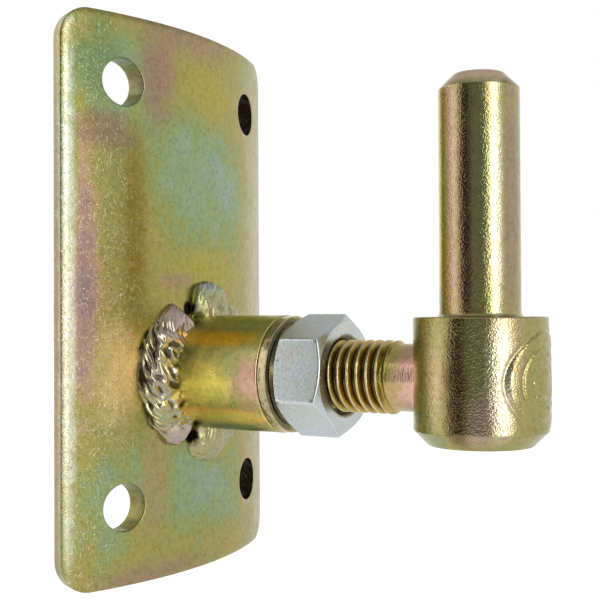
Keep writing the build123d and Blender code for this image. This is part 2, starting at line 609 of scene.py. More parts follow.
@dataclass(frozen=True)
class ClearZinc:
    """Clear zinc plating on the nut: pale grey with a blue cast, small dark specks, bright edges that are
    wear with painted highlight, and a brown painted reflection of the thread and the washer by its bore and
    on its collar.
    """

    name: str
    roughness: float = 0.27
    patch: Place = (5.0, 5.0, 5.0)
    speck_patch: Place = (0.7, 0.7, 0.7)
    broken_patch: Place = (0.5, 0.5, 0.5)
    reflection_patch: Place = (2.0, 2.0, 2.0)
    grain: Place = (0.6, 0.6, 0.6)
    grain_depth: float = 0.01
    dent_depth: float = 0.015
    reflection_level: float = 0.85

    def material(self) -> bpy.types.Material:
        """Builds the material.

        Returns:
            The pale grey material.
        """
        surface = Surface(self.name)
        tint = surface.cloud(self.patch, detail=3.0)
        colour = surface.ramp(tint, CLEAR_COLOURS)
        speck = surface.cloud(self.speck_patch, detail=3.0, rough=0.7)
        colour = surface.blend(surface.spread(speck, 0.6, 0.74), colour, SPECK)
        broken = surface.cloud(self.broken_patch, detail=2.0)
        # Pale edges and corners: worn zinc with painted highlight.
        worn = surface.math("MULTIPLY", surface.spread(surface.marked(Mark.WORN_AND_HIGHLIT), 0.25, 0.8),
                            surface.spread(broken, 0.35, 0.6, 0.2, 1.0))
        colour = surface.blend(worn, colour, RUBBED_AND_HIGHLIT_EDGE)
        # Brown painted reflection of the thread by the bore and of the washer on the collar.
        reflected = surface.around(surface.marked(Mark.REFLECTION), surface.cloud(self.reflection_patch, detail=3.0), 0.4)
        colour = surface.blend(surface.spread(reflected, 0.3, 0.9, 0.0, self.reflection_level), colour, REFLECTED_BROWN)
        inputs = surface.shader.inputs
        surface.put(inputs["Base Color"], colour)
        surface.put(inputs["Roughness"],
                    surface.spread(speck, 0.2, 0.8, self.roughness - 0.06, self.roughness + 0.1))
        normal = surface.emboss(surface.cloud(self.grain, detail=3.0, rough=0.6), self.grain_depth)
        dents = surface.scratches(1.8, width=0.18, length=1.2, bow=0.3, seed=11.0)
        surface.put(inputs["Normal"], surface.emboss(dents, self.dent_depth, 0.5, normal))
        return surface.material


class Form(Nodes):
    """A geometry tree with named sizes, run once on a holder and kept as a plain mesh."""

    kinds = {float: "NodeSocketFloat", int: "NodeSocketInt", bpy.types.Material: "NodeSocketMaterial"}

    def __init__(self, name: str, sizes: dict[str, Any]) -> None:
        """Makes the tree and its inputs.

        Args:
            name: The tree's name.
            sizes: A value for each named input.
        """
        super().__init__(bpy.data.node_groups.new(name, "GeometryNodeTree"))
        interface = self.tree.interface
        interface.new_socket("Geometry", in_out="OUTPUT", socket_type="NodeSocketGeometry")
        self.sizes = sizes
        self.keys = {
            label: interface.new_socket(label, in_out="INPUT", socket_type=self.kinds[type(value)]).identifier
            for label, value in sizes.items()
        }
        self.given = self.node("NodeGroupInput").outputs
        self.result = self.node("NodeGroupOutput")

    def tell(self, shape: Socket, mark: Mark, value: Socket) -> Socket:
        """Stores what the finish has to know of each point.

        Args:
            shape: The geometry.
            mark: What is told.
            value: How strongly it holds at each point.

        Returns:
            The geometry with its mark.
        """
        inputs = {"Geometry": shape, "Name": mark.value, "Value": value}
        stored = self.node("GeometryNodeStoreNamedAttribute", inputs, data_type="FLOAT", domain="POINT")
        return stored.outputs[0]

    def close(self, shape: Socket, material: Socket) -> None:
        """Ends the tree in real geometry with its material.

        Args:
            shape: The finished geometry.
            material: The material that it gets.
        """
        real = self.node("GeometryNodeRealizeInstances", {0: shape}).outputs[0]
        dressed = self.node("GeometryNodeSetMaterial", {"Geometry": real, "Material": material}).outputs[0]
        self.put(self.result.inputs[0], dressed)

    def plain_mesh(self, name: str) -> bpy.types.Mesh:
        """Runs the tree.

        Args:
            name: The name of the mesh.

        Returns:
            The result as a mesh without modifiers.
        """
        holder = add_object(name + "_holder", bpy.data.meshes.new(name + "_holder"))
        modifier = holder.modifiers.new("form", "NODES")
        modifier.node_group = self.tree
        for label, value in self.sizes.items():
            modifier[self.keys[label]] = value
        bpy.context.view_layer.update()
        shaped = holder.evaluated_get(bpy.context.evaluated_depsgraph_get())
        mesh = bpy.data.meshes.new_from_object(shaped)
        bpy.data.objects.remove(holder)
        mesh.name = name
        return mesh


def piece_from_mesh(name: str, mesh: bpy.types.Mesh, material: bpy.types.Material) -> Piece:
    """Makes a piece of the object from a finished mesh.

    Args:
        name: The piece's name.
        mesh: Its mesh, in metres, in place.
        material: Its finish.

    Returns:
        The linked object, with smooth faces.
    """
    mesh.materials.clear()
    mesh.materials.append(material)
    mesh.shade_smooth()
    return add_object(name, mesh)


def ring_faces(rows: int, around: int, closed: bool) -> np.ndarray:
    """Gives the faces that join rows of rings.

    Args:
        rows: How many rings there are.
        around: Points in each ring.
        closed: Whether the last ring joins the first.

    Returns:
        Four point numbers for each face.
    """
    index = np.arange(rows * around).reshape(rows, around)
    first = index if closed else index[:-1]
    second = np.roll(index, -1, axis=0)[: len(first)]
    return np.stack([first, np.roll(first, -1, 1), np.roll(second, -1, 1), second], -1).reshape(-1, 4)


def mesh_from_rings(name: str, rings: np.ndarray, closed: bool = False,
                    marks: dict[Mark, np.ndarray] | None = None) -> bpy.types.Mesh:
    """Joins rings of points into a surface.

    Args:
        name: The name of the mesh.
        rings: Points in millimetres, one row for each ring.
        closed: Whether the last ring joins the first.
        marks: What the finish has to know of each point.

    Returns:
        A mesh in metres with its doubles merged and its faces outwards.
    """
    faces = ring_faces(rings.shape[0], rings.shape[1], closed)
    mesh = bpy.data.meshes.new(name)
    mesh.from_pydata((rings.reshape(-1, 3) * MM).tolist(), [], faces.tolist())
    for mark, values in (marks or {}).items():
        tell_mesh(mesh, mark, values)
    tidy_mesh(mesh)
    return mesh


def tell_mesh(mesh: bpy.types.Mesh, mark: Mark, values: np.ndarray) -> None:
    """Stores what the finish has to know of each point of a mesh."""
    layer = mesh.attributes.new(mark.value, "FLOAT", "POINT")
    layer.data.foreach_set("value", values.astype(np.float32).ravel())


def tidy_mesh(mesh: bpy.types.Mesh, same_place: float = 0.0005) -> None:
    """Merges doubles, closes open rims and turns the faces outwards.

    Args:
        mesh: The mesh that is changed.
        same_place: Points nearer than this are one point.
    """
    shape = bmesh.new()
    shape.from_mesh(mesh)
    bmesh.ops.remove_doubles(shape, verts=shape.verts, dist=same_place * MM)
    bmesh.ops.dissolve_degenerate(shape, edges=shape.edges, dist=same_place * MM)
    bmesh.ops.holes_fill(shape, edges=[edge for edge in shape.edges if edge.is_boundary])
    bmesh.ops.recalc_face_normals(shape, faces=shape.faces)
    shape.to_mesh(mesh)
    shape.free()


@dataclass(frozen=True)
class Corner:
    """A corner of a turned section, with the radius that rounds it and the longest step towards it."""

    along: float
    out: float
    rounding: float = 0.0
    step: float = 0.8


def soft_section(corners: Sequence[Corner], arc_steps: int = 5) -> np.ndarray:
    """Draws a section with rounded corners, ready to be turned.

    Args:
        corners: The section's corners in order.
        arc_steps: Steps in each rounded corner.

    Returns:
        The section's points, as distance along the axis and out from it.
    """
    places = [np.array([corner.along, corner.out]) for corner in corners]
    points = [places[0]]
    for number, corner in enumerate(corners[1:], start=1):
        here = places[number]
        bend = [here]
        if corner.rounding > 0:
            back, ahead = places[number - 1] - here, places[number + 1] - here
            back, ahead = back / np.linalg.norm(back), ahead / np.linalg.norm(ahead)
            half = math.acos(float(np.clip(back @ ahead, -1, 1))) / 2
            cut = corner.rounding / math.tan(half)
            middle = here + (back + ahead) / np.linalg.norm(back + ahead) * corner.rounding / math.sin(half)
            start, end = here + back * cut - middle, here + ahead * cut - middle
            swing = math.pi - 2 * half
            shares = np.linspace(0, 1, arc_steps + 1)[:, None]
            arc = np.sin((1 - shares) * swing) * start + np.sin(shares * swing) * end
            bend = list(middle + arc / math.sin(swing))
        last = points[-1]
        pieces = max(1, math.ceil(np.linalg.norm(bend[0] - last) / corner.step))
        points.extend(last + (bend[0] - last) * k / pieces for k in range(1, pieces))
        points.extend(bend)
    return np.array(points)


def turned_rings(section: np.ndarray, around: int, centre: float) -> np.ndarray:
    """Turns a section about the upright hinge axis.

    Args:
        section: Heights and distances out from the axis.
        around: Points in each ring.
        centre: Where the axis stands along the stud.

    Returns:
        Rings of points in millimetres.
    """
    angle = np.linspace(0, FULL_TURN, around, endpoint=False)
    high = np.repeat(section[:, :1], around, 1)
    return np.stack([centre + section[:, 1:] * np.cos(angle), section[:, 1:] * np.sin(angle), high], -1)


@dataclass
class RolledPlate:
    """The mounting plate: a sheet rolled round the post, with rolled-over edges and four holes."""

    post_radius: float = 84.0
    thickness: float = 4.8
    width: float = 77.5
    height: float = 128.0
    rise: float = 17.2
    corner: float = 7.0
    hole_radius: float = 5.25
    holes_across: float = 48.0
    holes_up: float = 95.0
    holes_rise: float = 18.3
    roll_radius: float = 4.6
    roll_swing: float = 21.0
    edge_rounding: float = 0.5
    mouth_radius: float = 1.6
    mouth_rounding: float = 0.25
    back_rounding: float = 0.6
    far_darkness: float = 1.0
    near_darkness: float = 0.4
    dark_reach: float = 0.3
    wave: float = 0.035
    wave_length: float = 17.0
    ripple_share: float = 0.5
    ripple_length: float = 7.0
    ripple_shift: float = 9.0
    mesh_step: float = 1.5
    clear_share: float = 0.6
    corner_steps: int = 28
    hole_steps: int = 96
    back_steps: int = 6

    @property
    def front_radius(self) -> float:
        """Radius of the plate's front."""
        return self.post_radius + self.thickness

    @property
    def half_width(self) -> float:
        """Half the plate's width, measured along its front."""
        return self.width / 2 * self.front_radius / (self.post_radius + self.thickness / 2)

    @property
    def hole_centres(self) -> list[tuple[float, float]]:
        """Where the holes stand, across and up."""
        across, up = self.holes_across / 2, self.holes_up / 2
        return [(y, self.holes_rise + z) for y in (-across, across) for z in (-up, up)]

    def outline(self, inset: float) -> np.ndarray:
        """Gives the plate's outline, unrolled and pulled in.

        Args:
            inset: How far it is pulled in.

        Returns:
            Its points across and up, as a loop.
        """
        reach = np.array([self.half_width - self.corner, self.height / 2 - self.corner])
        quarter = np.linspace(0, math.pi / 2, self.corner_steps)
        arcs = []
        for turn, signs in enumerate(((1, 1), (-1, 1), (-1, -1), (1, -1))):
            angle = quarter + turn * math.pi / 2
            arcs.append(np.stack([np.cos(angle), np.sin(angle)], -1) * (self.corner - inset) + reach * signs)
        corners = np.concatenate(arcs)
        loop: list[np.ndarray] = []
        for here, there in zip(corners, np.roll(corners, -1, 0)):
            pieces = max(1, round(float(np.linalg.norm(there - here)) / self.mesh_step))
            loop.extend(here + (there - here) * k / pieces for k in range(pieces))
        return np.array(loop)

    def rolled(self, flat: np.ndarray, depth: float) -> np.ndarray:
        """Rolls unrolled points round the post.

        Args:
            flat: The points across and up.
            depth: How deep they lie under the front.

        Returns:
            The rolled points.
        """
        angle = flat[:, 0] / self.front_radius
        radius = self.front_radius - depth
        return np.stack([radius * np.cos(angle) - self.post_radius, radius * np.sin(angle),
                         flat[:, 1] + self.rise], -1)

    def drilled(self, centre: tuple[float, float], radius: float, depth: float) -> np.ndarray:
        """Gives a ring of a hole.

        Args:
            centre: Where the hole stands, across and up.
            radius: Radius of the ring.
            depth: How deep it lies under the front.

        Returns:
            The ring's points.
        """
        angle = np.linspace(0, FULL_TURN, self.hole_steps, endpoint=False)
        y, z = centre[0] + radius * np.cos(angle), centre[1] + radius * np.sin(angle)
        return np.stack([np.sqrt((self.front_radius - depth) ** 2 - y**2) - self.post_radius, y, z], -1)

    def edge_section(self, radius: float, rounding: float, steps: int = 9) -> np.ndarray:
        """Gives the section of an edge: a gentle roll-over, a tight round, the side and the back's round.

        Args:
            radius: Radius of the roll-over.
            rounding: Radius of the tight round.
            steps: Points in each arc.

        Returns:
            Insets from the side and depths under the front, from the front to the back.
        """
        turn = math.radians(self.roll_swing)
        gentle = np.linspace(0, turn, steps)
        tight = np.linspace(turn, math.pi / 2, steps)[1:]
        quarter = np.linspace(0, math.pi / 2, self.back_steps)
        foot = rounding * (1 - math.sin(turn))
        drop = radius * (1 - math.cos(turn))
        inset = np.concatenate([
            foot + radius * (math.sin(turn) - np.sin(gentle)), rounding * (1 - np.sin(tight)), [0.0],
            self.back_rounding * (1 - np.cos(quarter))])
        depth = np.concatenate([
            radius * (1 - np.cos(gentle)), drop + rounding * (math.cos(turn) - np.cos(tight)),
            [self.thickness / 2], self.thickness - self.back_rounding * (1 - np.sin(quarter))])
        return np.stack([inset, depth], -1)

    def on_face(self, y: float, z: float, radius: float, edge_in: float, hole_out: float) -> bool:
        """Tells whether a place is on a flat of the face, clear of its edge and its holes.

        Args:
            y: The place across the plate.
            z: The place up the plate.
            radius: Radius of the face.
            edge_in: How far the face ends inside the outline.
            hole_out: How far it ends outside the holes.

        Returns:
            True where the place is clear.
        """
        across = abs(self.front_radius * math.asin(y / radius))
        past = np.array([across - self.half_width, abs(z - self.rise) - self.height / 2]) + self.corner
        outside = float(np.hypot(*np.maximum(past, 0))) + min(0.0, float(past.max()))
        clear_of_holes = all(math.hypot(y - hole_y, z - hole_z) > self.hole_radius + hole_out
                             for hole_y, hole_z in self.hole_centres)
        return outside < self.corner - edge_in and clear_of_holes

    def filled(self, loops: Sequence[np.ndarray], radius: float, edge_in: float,
               hole_out: float) -> tuple[np.ndarray, list[list[int]]]:
        """Fills the face between the outline's loop and the holes' loops.

        Args:
            loops: The outline's loop, then the holes'.
            radius: Radius of the face.
            edge_in: How far the face ends inside the outline.
            hole_out: How far it ends outside the holes.

        Returns:
            Its points and its triangles.
        """
        edges: list[tuple[int, int]] = []
        flat: list[Vector] = []
        for loop in loops:
            start, count = len(flat), len(loop)
            edges += [(start + k, start + (k + 1) % count) for k in range(count)]
            flat += [Vector((y, z)) for _, y, z in loop.tolist()]
        room = self.clear_share * self.mesh_step
        reach = self.half_width - self.mesh_step
        for y in np.arange(-reach, reach, self.mesh_step).tolist():
            for z in np.arange(-self.height / 2, self.height / 2, self.mesh_step).tolist():
                if self.on_face(y, z + self.rise, radius, edge_in + room, hole_out + room):
                    flat.append(Vector((y, z + self.rise)))
        points, _, faces, *_ = delaunay_2d_cdt(flat, edges, [], 0, 1e-7)
        places = np.array([(math.sqrt(radius**2 - p.x**2) - self.post_radius, p.x, p.y) for p in points])
        middles = [places[list(face)].mean(0) for face in faces]
        kept = [list(face) for face, (_, y, z) in zip(faces, middles)
                if self.on_face(float(y), float(z), radius, edge_in, hole_out)]
        return places, kept

    def mesh(self) -> bpy.types.Mesh:
        """Builds the plate.

        Returns:
            A closed mesh, with a mark for the painted shade inside its holes.
        """
        rim = self.edge_section(self.roll_radius, self.edge_rounding)
        mouth = self.edge_section(self.mouth_radius, self.mouth_rounding)
        walls = [np.array([self.rolled(self.outline(inset), depth) for inset, depth in rim])]
        walls += [np.array([self.drilled(centre, self.hole_radius + out, depth) for out, depth in mouth])
                  for centre in self.hole_centres]
        parts = [(wall.reshape(-1, 3), ring_faces(*wall.shape[:2], closed=False).tolist())
                 for wall in walls]
        parts.append(self.filled([wall[0] for wall in walls], self.front_radius, rim[0, 0], mouth[0, 0]))
        parts.append(self.filled([wall[-1] for wall in walls], self.post_radius, rim[-1, 0], mouth[-1, 0]))
        inside = [np.zeros(len(points)) for points, _ in parts]
        # Painted shade inside the holes, deeper in the far holes than in the near ones.
        for number, (across, _) in enumerate(self.hole_centres, start=1):
            level = self.far_darkness if across > 0 else self.near_darkness
            inside[number] = np.repeat(level * eased(1 - mouth[:, 0] / self.dark_reach), self.hole_steps)
        faces: list[list[int]] = []
        start = 0
        for points, own_faces in parts:
            faces += [[start + k for k in face] for face in own_faces]
            start += len(points)
        places = np.concatenate([points for points, _ in parts])
        from_axis = np.hypot(places[:, 0] + self.post_radius, places[:, 1])
        to_front = (from_axis - self.post_radius) / self.thickness
        ripple = rumpled(places, self.ripple_length, self.ripple_shift)
        swell = rumpled(places, self.wave_length) + self.ripple_share * ripple
        places[:, 0] += self.wave * swell * np.clip(to_front, 0, 1)
        mesh = bpy.data.meshes.new("rolled_plate")
        mesh.from_pydata((places * MM).tolist(), [], faces)
        tell_mesh(mesh, Mark.HOLE_SHADE, np.concatenate(inside))
        tidy_mesh(mesh)
        return mesh


@dataclass
class WeldRun:
    """One run of weld in the corner between the boss and the plate."""

    name: str
    node: str
    start: float
    end: float
    swells: tuple[tuple[float, float, float], ...]
    ropes: tuple[float, float] = (0.0, 0.0)
    rope_height: float = 0.6
    strand_length: float = 4.5
    strand_width: float = 1.3
    strand_slant: float = 0.6
    strand_shift: float = 3.3
    rope_fade: float = 14.0
    least_twist: float = 0.25
    ridge_level: float = 0.45
    hollow_depth: float = 0.5
    # How strongly shade is painted between the strands.
    hollow_shade_level: float = 1.0
    lump: float = 0.6
    lump_size: float = 4.0
    fine_lump: float = 0.1
    fine_lump_size: float = 1.5
    ripple_bow: float = 10.0
    ripple_middle: float = 0.45
    boss_radius: float = 13.4
    plate_radius: float = 88.8
    post_radius: float = 84.0
    leg_on_plate: float = 7.4
    leg_on_boss: float = 4.2
    bulge: float = 0.86
    sunk: float = 0.3
    end_rounding: float = 9.0
    end_thinning: float = 0.3
    steps_along: int = 420
    steps_across: int = 56
    shift: float = 0.0

    def fullness(self, angle: np.ndarray) -> np.ndarray:
        """Gives the run's size along it, one swelling for each lobe.

        Args:
            angle: Angles about the stud.

        Returns:
            The size at each angle, as a share of the whole.
        """
        full = np.zeros_like(angle)
        for middle, half_width, size in self.swells:
            swell = size * np.sqrt(np.clip(1 - ((angle - middle) / half_width) ** 2, 0, 1))
            full = np.maximum(full, swell)
        for edge in (angle - self.start, self.end - angle):
            share = np.clip(edge / self.end_rounding, 0, 1)
            full = full * np.sqrt(1 - (1 - share) ** 2)
        return full

    def mesh(self) -> bpy.types.Mesh:
        """Builds the run.

        Returns:
            A closed mesh, with a mark for the painted shade in the hollows between its strands.
        """
        along = np.linspace(self.start, self.end, self.steps_along)[:, None]
        swing = np.linspace(0, math.pi / 2, self.steps_across)[None, :]
        bent = along + self.ripple_bow * (swing / math.pi * 2 - self.ripple_middle) ** 2
        full = self.fullness(bent) * np.minimum(1, self.fullness(along) / self.end_thinning)
        out = full * self.leg_on_plate * np.cos(swing) ** self.bulge
        high = full * self.leg_on_boss * np.sin(swing) ** self.bulge
        turn = np.radians(along)
        radius = self.boss_radius + out
        flat = np.stack([high, radius * np.cos(turn), radius * np.sin(turn)], -1)
        first, last = self.ropes
        roped = eased((along - first) / self.rope_fade) * eased((last - along) / self.rope_fade)
        push = self.lump * rumpled(flat, self.lump_size, self.shift)
        push += self.fine_lump * rumpled(flat, self.fine_lump_size, self.shift)
        run = np.radians(bent) * (self.boss_radius + self.leg_on_plate / 2)
        over = np.broadcast_to(swing / (math.pi / 2) * self.leg_on_plate, run.shape)
        strand = np.stack([(run + over) / self.strand_length,
                           (over - self.strand_slant * run) / self.strand_width, np.zeros_like(run)], -1)
        ridge = self.ridge_level - 2 * np.abs(rumpled(strand, 1.0, self.shift + self.strand_shift))
        twisted = self.least_twist + (1 - self.least_twist) * roped
        push += self.rope_height * twisted * ridge
        push *= np.minimum(1, full)
        # Painted shade in the hollows between the strands.
        hollow = self.hollow_shade_level * twisted * eased(-ridge / self.hollow_depth)
        out = out + push * np.cos(swing)
        high = high + push * np.sin(swing)
        base = np.full_like(out[:, :1], -self.sunk)
        out = np.concatenate([out, base, base, out[:, :1]], 1) + self.boss_radius
        high = np.concatenate([high, high[:, -1:], base, base], 1)
        y, z = out * np.cos(turn), out * np.sin(turn)
        front = np.sqrt(self.plate_radius**2 - y**2) - self.post_radius
        hidden = np.zeros((self.steps_along, out.shape[1] - self.steps_across))
        marks = {Mark.ROOT: np.concatenate([hollow, hidden], 1)}
        return mesh_from_rings(self.name, np.stack([front + high, y, z], -1), marks=marks)


class PostMount:
    """The plate with its welded boss."""

    film_patches = (
        Spot((2.0, -28.0, 67.0), (9.0, 18.0, 18.0), -0.3),
        Spot((4.0, -2.0, 46.0), (12.0, 24.0, 26.0), -0.3),
        Spot((3.0, 13.0, 41.0), (12.0, 11.0, 24.0), -0.16),
        Spot((-2.0, -33.5, 22.0), (8.0, 5.0, 44.0), 0.4),
        Spot((-3.0, -37.0, 45.0), (8.0, 2.6, 34.0), -0.4),
        Spot((2.0, -24.0, 2.0), (8.0, 7.0, 11.0), 0.2),
        Spot((2.0, -28.0, -29.0), (9.0, 16.0, 17.0), -0.28),
        Spot((4.0, -3.0, -27.0), (12.0, 18.0, 15.0), -0.28),
        Spot((4.0, 9.0, -32.0), (12.0, 12.0, 15.0), -0.2),
        Spot((1.0, 24.0, 65.8), (8.0, 8.5, 8.5), 0.4),
        Spot((1.0, 24.0, -29.2), (8.0, 8.5, 8.5), 0.4),
        Spot((0.0, -24.0, -29.2), (8.0, 9.0, 9.0), 0.2),
    )

    def __init__(self) -> None:
        """Names the finishes and the two runs of weld."""
        plate_tints_and_edge_highlight = (
            Tint((-2.0, 38.0, 17.0), (20.0, 20.0, 110.0), screen_colour(190, 186, 146), 0.7),
            Tint((2.0, -26.0, 0.0), (9.0, 9.0, 17.0), screen_colour(228, 200, 142), 0.7),
            Tint((2.0, -21.0, 34.0), (9.0, 5.0, 30.0), screen_colour(148, 124, 44), 0.6),
            Tint((0.0, -31.0, 69.0), (9.0, 11.0, 14.0), screen_colour(118, 142, 92), 0.8),
            Tint((3.0, -15.0, 69.0), (9.0, 8.5, 16.0), screen_colour(158, 128, 112), 0.85),
            Tint((4.0, -4.0, 81.0), (9.0, 26.0, 9.0), screen_colour(166, 136, 114), 0.75),
            Tint((4.0, 5.0, 67.0), (9.0, 17.0, 11.0), screen_colour(178, 164, 74), 0.7),
            Tint((0.0, -29.0, 54.5), (9.0, 12.0, 6.0), screen_colour(148, 120, 100), 0.75),
            Tint((4.0, 3.0, 25.0), (9.0, 20.0, 7.0), screen_colour(176, 164, 70), 0.65),
            Tint((4.0, -9.0, 21.5), (9.0, 9.0, 3.0), screen_colour(166, 140, 112), 0.7),
            Tint((3.0, -16.0, -24.0), (9.0, 6.0, 18.0), screen_colour(170, 150, 108), 0.7),
            Tint((2.0, -14.0, -46.5), (9.0, 28.0, 6.0), screen_colour(162, 136, 110), 0.8),
            # Painted highlight: a pale strip along the near rolled edge.
            Tint((-3.4, -37.0, 17.0), (5.0, 2.2, 90.0), screen_colour(226, 228, 206), 0.7),
            Tint((-7.5, -37.5, 17.0), (4.6, 3.4, 90.0), screen_colour(140, 112, 50), 0.95),
        )
        tumbled = (Spot((-2.0, -38.0, 17.0), (30.0, 26.0, 100.0), 1.4),)
        self.plate_finish = YellowZinc(
            "plate_yellow_zinc", film_spots=self.film_patches, tints=plate_tints_and_edge_highlight, scratch_spots=tumbled,
            dark_spots=WELD_PIT_SHADE, dark_mark=Mark.HOLE_SHADE, darkness=1.0, drift=0.22, patch=(20.0, 10.0, 20.0),
            grain=(0.4, 0.4, 0.4), grain_depth=0.09, calm_grain=0.25, roughness=0.25)
        # Painted reflections: bands along the boss at set heights round it, and patches on its near side, in
        # the colours that the plate and the studio would mirror.
        boss_painted_reflections = (
            Tint((14.0, -13.0, -1.0), (11.0, 6.0, 8.0), screen_colour(232, 212, 84), 0.85),
            Tint((17.0, -9.6, -9.4), (18.0, 4.0, 3.0), screen_colour(255, 190, 84)),
            Tint((17.0, -5.0, -12.8), (18.0, 6.0, 2.6), screen_colour(88, 102, 34), 0.95),
            Tint((17.0, -10.8, 8.4), (18.0, 4.0, 3.0), screen_colour(214, 172, 20)),
            Tint((17.0, -4.0, 13.4), (18.0, 6.0, 3.4), screen_colour(150, 150, 16)),
            Tint((27.0, -13.0, -1.0), (6.0, 8.0, 9.0), screen_colour(196, 152, 130), 0.9),
        )
        self.boss_finish = YellowZinc(
            "boss_yellow_zinc", film=0.48, drift=0.16, patch=(12.0, 9.0, 9.0), dark_spots=WELD_PIT_SHADE,
            tints=boss_painted_reflections, brightness=1.5, saturation=0.95, grain=(0.3, 1.4, 1.4), grain_depth=0.05,
            roughness=0.3, seed=31.0)
        weld_patches = (
            Spot((6.0, -10.0, 14.0), (7.0, 6.0, 5.0), 0.4),
            Spot((6.0, -9.0, -15.0), (7.0, 6.0, 5.0), 0.4),
            Spot((5.0, 2.0, 21.0), (7.0, 12.0, 3.5), -0.5),
        )
        weld_tints = (
            Tint((8.0, -13.0, 10.0), (7.0, 7.0, 6.0), screen_colour(182, 156, 148), 0.8),
            Tint((6.0, -16.0, 0.0), (9.0, 7.0, 10.0), screen_colour(160, 148, 134), 0.7),
            Tint((6.0, -11.0, -14.0), (7.0, 7.0, 5.0), screen_colour(174, 152, 142), 0.7),
        )
        self.weld_finish = YellowZinc(
            "weld_yellow_zinc", film=0.5, drift=0.34, patch=(4.0, 4.0, 4.0), film_spots=weld_patches,
            dark_spots=WELD_PIT_SHADE, tints=weld_tints, dark_mark=Mark.ROOT, darkness=0.8, grain_depth=0.06,
            brightness=1.15, saturation=0.7, roughness=0.19, seed=7.0)
        self.far_weld_finish = replace(self.weld_finish, name="far_weld_yellow_zinc", roughness=0.32)
        self.plate = RolledPlate()
        far_lobes = ((-82.0, 1.12), (-42.0, 1.0), (0.0, 1.0), (42.0, 1.0), (82.0, 1.12))
        self.runs = (
            WeldRun("near_weld_run", "near_weld", 118.0, 246.0,
                    ((136.0, 24.0, 0.93), (160.0, 30.0, 1.0), (185.0, 32.0, 1.03), (210.0, 26.0, 1.0),
                     (230.0, 20.0, 0.96)), ropes=(136.0, 226.0)),
            WeldRun("far_weld_run", "far_weld", -107.0, 107.0,
                    tuple((angle, 31.0, size) for angle, size in far_lobes), ropes=(-115.0, 115.0),
                    rope_height=0.24, strand_length=3.0, strand_width=1.6, strand_slant=1.6,
                    hollow_shade_level=0.0, lump=0.9, leg_on_boss=3.4, shift=20.0),
        )

    def build(self) -> None:
        """Builds the plate, dresses the boss and lays the weld."""
        plate = piece_from_mesh("rolled_plate", self.plate.mesh(), self.plate_finish.material())
        place_piece(plate, "mounting_plate", Body.BASE)
        dress("threaded_boss", self.boss_finish.material())
        for run, finish in zip(self.runs, (self.weld_finish, self.far_weld_finish)):
            bead = piece_from_mesh(run.name, run.mesh(), finish.material())
            place_piece(bead, run.node, Body.BASE)


@dataclass
class SpringWasher:
    """A split ring of flat section that rises a little along its turn."""

    bore: float = 8.3
    radius: float = 13.3
    thickness: float = 2.1
    rise: float = 0.3
    split: float = 2.2
    slant: float = 25.0
    rounding: float = 0.12
    hammered: float = 0.13
    hammered_reach: float = 0.6
    dent_size: float = 2.2
    dent_level: float = 0.7
    fine_dent_size: float = 0.9
    fine_dent_share: float = 0.4
    fine_dent_shift: float = 4.0
    shade_margin: float = 0.2
    steps_around: int = 360

    def mesh(self, back: float) -> bpy.types.Mesh:
        """Builds the ring.

        Args:
            back: Where its lowest face lies along the stud.

        Returns:
            A closed mesh.
        """
        front = self.thickness
        section = soft_section((
            Corner(0.0, self.bore),
            Corner(0.0, self.radius, self.rounding * 2, step=0.5),
            Corner(front, self.radius, self.rounding, step=0.2),
            Corner(front, self.bore, step=0.5),
            Corner(0.0, self.bore, step=0.5),
        ), arc_steps=4)[:-1]
        gap = math.degrees(self.split / self.radius)
        turn = np.radians(np.linspace(gap / 2, 360 - gap / 2, self.steps_around))[:, None]
        along, out = section[None, :, 0], section[None, :, 1]
        angle = turn + (along - front / 2) * math.tan(math.radians(self.slant)) / self.radius
        place = back + along + self.rise * (1 - turn / FULL_TURN)
        rough = np.stack([place, out * np.cos(angle), out * np.sin(angle)], -1)
        rim = eased((out - self.radius + self.hammered_reach) / self.hammered_reach)
        fine_dents = self.fine_dent_share * rumpled(rough, self.fine_dent_size, self.fine_dent_shift)
        dents = rumpled(rough, self.dent_size) + fine_dents - self.dent_level
        worn = out + self.hammered * rim * dents
        # Painted shade on the front face, in the gap under the nut.
        on_front = (along > front - HAIR) & (out < self.radius - self.shade_margin)
        face_shade = np.broadcast_to(on_front, worn.shape)
        rings = np.stack([place, worn * np.cos(angle), worn * np.sin(angle)], -1)
        return mesh_from_rings("split_washer", rings, marks={Mark.FACE_SHADE: face_shade})


